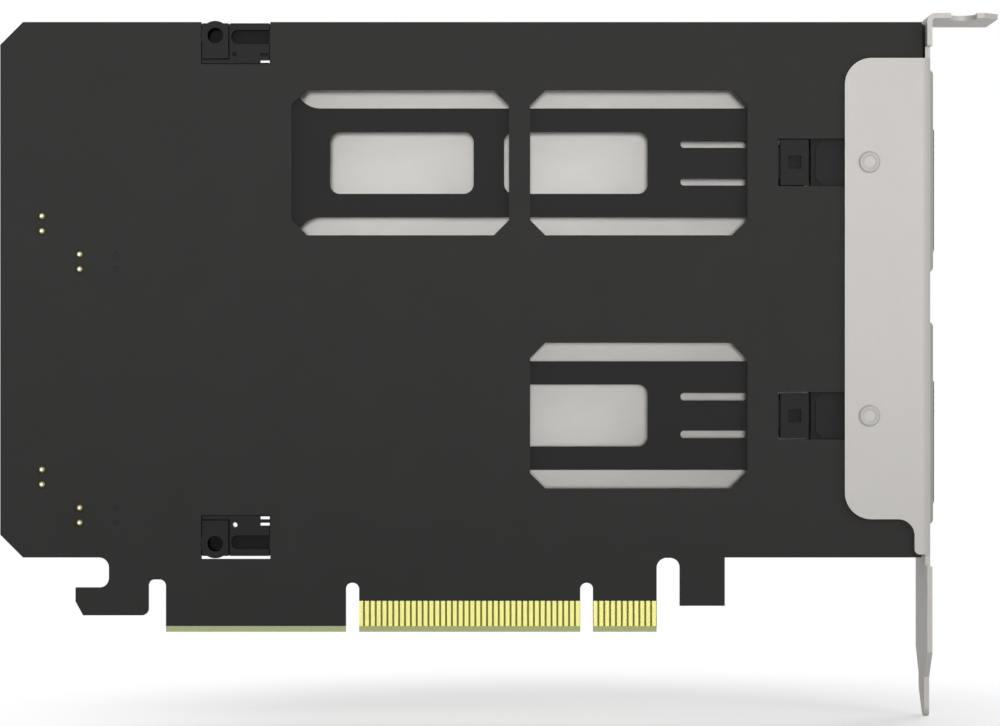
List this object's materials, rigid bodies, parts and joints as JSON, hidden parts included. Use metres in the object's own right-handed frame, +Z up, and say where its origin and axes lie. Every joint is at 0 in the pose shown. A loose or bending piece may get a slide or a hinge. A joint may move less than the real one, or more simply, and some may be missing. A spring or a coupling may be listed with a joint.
{
  "type": "nvme adapter card",
  "caption": "Server adapter card with a slot bracket and a moulded cage, where NVMe drives ride in trays that slide out past hinged ejector levers.",
  "frame": {"origin": "bottom of the card edge, at the middle of its key notch and at the middle of the board's thickness", "axes": "+X along the card towards its slot bracket, +Y from the solder side towards the component side, +Z up from the card edge to the card's top"},
  "size_m": [0.1702, 0.0184, 0.12],
  "materials": {
    "board": "black solder mask over glass-fibre board, with olive cut edges",
    "gold": "gold plate",
    "bracket_steel": "plated sheet steel, dull",
    "black_moulding": "fine-grained black moulding",
    "cover_steel": "black coated sheet steel",
    "screw_steel": "nickel plate",
    "socket_plastic": "black socket housing",
    "header_plastic": "black connector housing",
    "ferrite": "dark grey ferrite",
    "chip": "black chip body",
    "ceramic": "tan ceramic with tinned ends",
    "tray_metal": "pale satin aluminium",
    "tray_front": "mid-grey moulding",
    "lens": "milky light guide",
    "lever": "dark grey moulding",
    "tin": "soldered pins"
  },
  "bodies": {
    "card": {"pcb": "board", "edge_contacts": "gold", "bracket": "bracket_steel", "flange_rivets": "screw_steel", "drive_cage": "black_moulding", "cage_cover": "cover_steel", "cage_screws": "screw_steel", "drive_socket_upper": "socket_plastic", "drive_socket_lower": "socket_plastic", "led_header_upper": "socket_plastic", "led_header_lower": "socket_plastic", "aux_connector_upper": "header_plastic", "aux_connector_lower": "header_plastic", "header_pins": "tin", "inductor_upper": "ferrite", "inductor_lower": "ferrite", "regulator_upper": "chip", "regulator_lower": "chip", "clock_buffer": "chip", "capacitors": "ceramic"},
    "upper_tray": {"tray_frame_upper": "tray_metal", "tray_front_upper": "tray_front", "tray_lens_upper": "lens", "tray_screws_upper": "screw_steel", "drive_standoff_upper": "screw_steel", "lever_pin_upper": "screw_steel"},
    "lower_tray": {"tray_frame_lower": "tray_metal", "tray_front_lower": "tray_front", "tray_lens_lower": "lens", "tray_screws_lower": "screw_steel", "drive_standoff_lower": "screw_steel", "lever_pin_lower": "screw_steel"},
    "upper_lever": {"eject_lever_upper": "lever"},
    "lower_lever": {"eject_lever_lower": "lever"}
  },
  "joints": [
    {"name": "upper_tray_slide", "type": "slide", "parent": "card", "child": "upper_tray", "axis": [1, 0, 0], "range_m": [0, 0.125]},
    {"name": "lower_tray_slide", "type": "slide", "parent": "card", "child": "lower_tray", "axis": [1, 0, 0], "range_m": [0, 0.125]},
    {"name": "upper_lever_hinge", "type": "hinge", "parent": "upper_tray", "child": "upper_lever", "pos_m": [0.0582, 0.00685, 0.06565], "axis": [0, 1, 0], "range_deg": [0, 75]},
    {"name": "lower_lever_hinge", "type": "hinge", "parent": "lower_tray", "child": "lower_lever", "pos_m": [0.0582, 0.00685, 0.0224], "axis": [0, 1, 0], "range_deg": [0, 75]}
  ]
}
